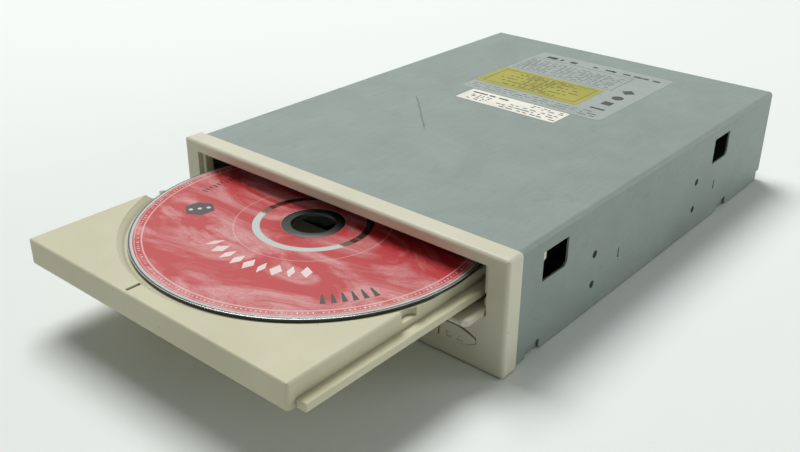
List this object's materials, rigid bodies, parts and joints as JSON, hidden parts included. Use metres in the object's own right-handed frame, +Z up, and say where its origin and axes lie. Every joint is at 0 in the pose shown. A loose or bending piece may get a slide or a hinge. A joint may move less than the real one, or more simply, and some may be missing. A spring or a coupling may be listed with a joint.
{
  "type": "disc drive",
  "caption": "half-height optical disc drive with its loading tray part-way out, a disc on the tray, and a hinged flap under the doorway of its beige bezel",
  "frame": {"origin": "the middle of the four mounting holes in the underside", "axes": "+X to the right seen from the front, +Y from the bezel to the back, +Z up"},
  "size_m": [0.1488, 0.2791, 0.042],
  "materials": {
    "sheet_steel": "zinc-plated sheet, matt",
    "beige_plastic": "fine grain",
    "tray_plastic": "fine grain, a little yellowed",
    "disc_face": "printed disc",
    "black_plastic": "moulded",
    "white_plastic": "acetal",
    "black_rubber": "rubber",
    "bright_steel": "bright",
    "cast_metal": "die-cast",
    "lens_glass": "coated",
    "amber_lens": "clear amber",
    "green_board": "solder resist",
    "brass": "gilt"
  },
  "bodies": {
    "case": {"top_cover": "sheet_steel", "bottom_cover": "sheet_steel", "front_bezel": "beige_plastic", "volume_control": "black_plastic", "headphone_jack": "black_plastic", "indicator_lens": "amber_lens", "front_board": "green_board", "button_switches": "black_plastic", "loader_frame": "black_plastic", "loading_motor": "bright_steel", "drive_belt": "black_rubber", "clamp_bridge": "sheet_steel", "main_board": "green_board", "board_chips": "black_plastic", "data_connector": "black_plastic", "power_connector": "white_plastic", "audio_connector": "white_plastic", "jumper_block": "black_plastic", "connector_pins": "brass", "cover_screws": "bright_steel", "bridge_screws": "bright_steel"},
    "tray": {"tray": "tray_plastic"},
    "disc": {"disc": "disc_face"},
    "door": {"dust_door": "beige_plastic"},
    "eject_button": {"eject_button": "beige_plastic"},
    "play_button": {"play_button": "beige_plastic"},
    "volume_wheel": {"volume_wheel": "beige_plastic"},
    "tray_gear": {"tray_gear": "white_plastic"},
    "pulley_gear": {"pulley_gear": "white_plastic"},
    "motor_pulley": {"motor_pulley": "white_plastic"},
    "cam": {"cam_slider": "white_plastic"},
    "pickup_unit": {"lift_frame": "black_plastic", "rubber_dampers": "black_rubber", "mechanism_plate": "bright_steel", "spindle_motor": "bright_steel", "guide_rods": "bright_steel", "sled_motor": "bright_steel", "damper_screws": "bright_steel"},
    "turntable": {"turntable": "black_plastic"},
    "sled": {"pickup_sled": "cast_metal", "objective_lens": "lens_glass"},
    "sled_gear": {"sled_gear": "white_plastic"},
    "sled_pinion": {"sled_pinion": "brass"},
    "clamper": {"clamper": "black_plastic"}
  },
  "joints": [
    {"name": "tray_slide", "type": "slide", "parent": "case", "child": "tray", "axis": [0, -1, 0], "range_m": [-0.0855, 0.048]},
    {"name": "disc_spin", "type": "hinge", "parent": "tray", "child": "disc", "pos_m": [0, -0.10032, 0.0312], "axis": [0, 0, 1], "continuous": true},
    {"name": "tray_gear_spin", "type": "hinge", "parent": "case", "child": "tray_gear", "pos_m": [-0.049, -0.07003, 0.022], "axis": [0, 0, 1], "range_deg": [-766, 430]},
    {"name": "pulley_gear_spin", "type": "hinge", "parent": "case", "child": "pulley_gear", "pos_m": [-0.0314, -0.07003, 0.02], "axis": [0, 0, 1], "range_deg": [-753, 1340]},
    {"name": "motor_pulley_spin", "type": "hinge", "parent": "case", "child": "motor_pulley", "pos_m": [0.0046, -0.07003, 0.017], "axis": [0, 0, 1], "range_deg": [-2633, 4689]},
    {"name": "door_hinge", "type": "hinge", "parent": "case", "child": "door", "pos_m": [0, -0.09043, 0.02435], "axis": [-1, 0, 0], "range_deg": [0, 8]},
    {"name": "eject_press", "type": "slide", "parent": "case", "child": "eject_button", "axis": [0, 1, 0], "range_m": [0, 0.0008], "stiffness_N_per_m": 500, "springref_m": -0.0005},
    {"name": "play_press", "type": "slide", "parent": "case", "child": "play_button", "axis": [0, 1, 0], "range_m": [0, 0.0008], "stiffness_N_per_m": 500, "springref_m": -0.0005},
    {"name": "volume_turn", "type": "hinge", "parent": "case", "child": "volume_wheel", "pos_m": [-0.034, -0.08478, 0.0097], "axis": [0, 0, 1], "range_deg": [-135, 135]},
    {"name": "cam_slide", "type": "slide", "parent": "case", "child": "cam", "axis": [1, 0, 0], "range_m": [0, 0.02]},
    {"name": "pickup_lift", "type": "hinge", "parent": "case", "child": "pickup_unit", "pos_m": [0, 0.08357, 0.018], "axis": [-1, 0, 0], "range_deg": [0, 2.8]},
    {"name": "turntable_spin", "type": "hinge", "parent": "pickup_unit", "child": "turntable", "pos_m": [0, -0.01534, 0.02618], "axis": [0, -0.0488, 0.9988], "continuous": true},
    {"name": "sled_slide", "type": "slide", "parent": "pickup_unit", "child": "sled", "axis": [0, 0.9988, 0.0488], "range_m": [0, 0.035]},
    {"name": "sled_gear_spin", "type": "hinge", "parent": "pickup_unit", "child": "sled_gear", "pos_m": [0.0278, 0.03049, 0.02041], "axis": [0, -0.0488, 0.9988], "range_deg": [-279, 0]},
    {"name": "sled_pinion_spin", "type": "hinge", "parent": "pickup_unit", "child": "sled_pinion", "pos_m": [0.0304, 0.0422, 0.02098], "axis": [0, -0.0488, 0.9988], "range_deg": [0, 418]},
    {"name": "clamper_spin", "type": "hinge", "parent": "case", "child": "clamper", "pos_m": [0, -0.01482, 0.036], "axis": [0, 0, 1], "continuous": true}
  ],
  "couplings": [
    {"joint": "tray_gear_spin", "follows": "tray_slide", "rad_per_m": 156.25},
    {"joint": "pulley_gear_spin", "follows": "tray_slide", "rad_per_m": -273.44},
    {"joint": "motor_pulley_spin", "follows": "tray_slide", "rad_per_m": -957.03},
    {"joint": "pickup_lift", "follows": "cam_slide", "rad_per_m": 2.4434},
    {"joint": "sled_gear_spin", "follows": "sled_slide", "rad_per_m": -138.89},
    {"joint": "sled_pinion_spin", "follows": "sled_slide", "rad_per_m": 208.33}
  ]
}
